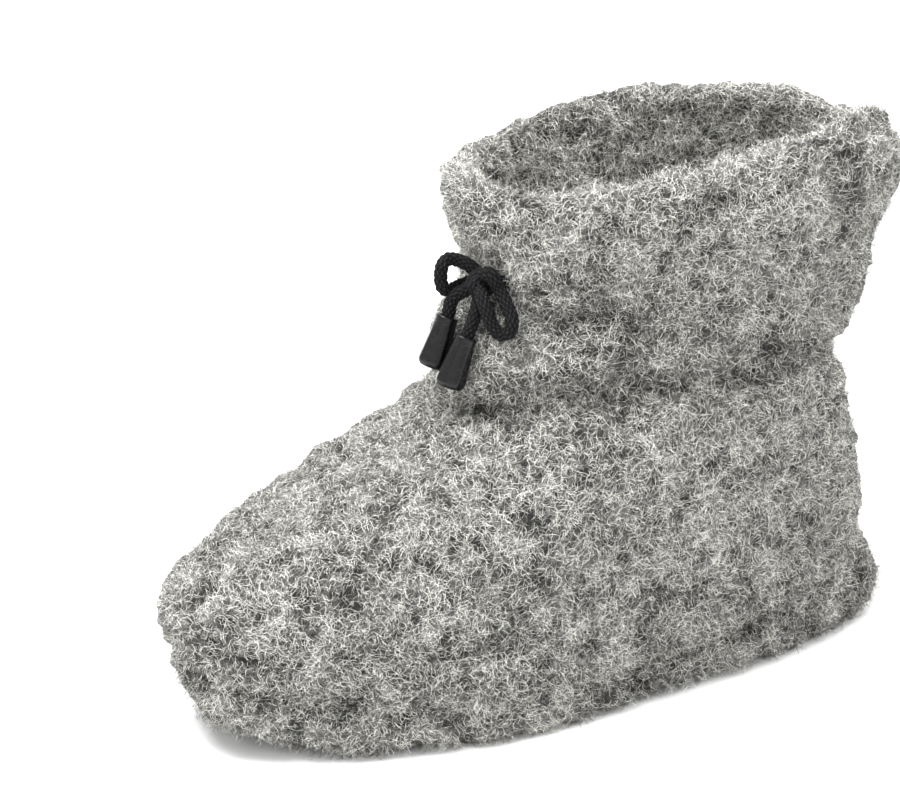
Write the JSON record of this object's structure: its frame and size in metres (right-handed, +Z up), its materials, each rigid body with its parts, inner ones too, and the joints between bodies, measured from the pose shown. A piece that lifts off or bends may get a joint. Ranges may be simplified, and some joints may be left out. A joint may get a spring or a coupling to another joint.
{
  "type": "slipper boot",
  "caption": "Ankle-high wool fleece slipper boot with a rolled collar, a soft turned-up sole and a drawcord bow at the front.",
  "frame": {"origin": "on the floor, under the middle of the sole's box", "axes": "+Y from toe to heel, +X to the side that the picture shows, +Z up"},
  "size_m": [0.105, 0.27, 0.1846],
  "materials": {
    "fleece": "curly grey wool pile, light and dark fibres mixed",
    "cord": "black braided round cord",
    "cord_end": "matte black moulded plastic with soft facets"
  },
  "bodies": {
    "root": {"sole": "fleece", "insole": "fleece", "upper": "fleece", "shaft": "fleece", "drawcord_left": "cord", "drawcord_right": "cord", "bow_knot": "cord", "bow_loop_left": "cord", "bow_loop_right": "cord", "bow_tail_left": "cord", "bow_tail_right": "cord", "cord_end_left": "cord_end", "cord_end_right": "cord_end"}
  },
  "joints": []
}
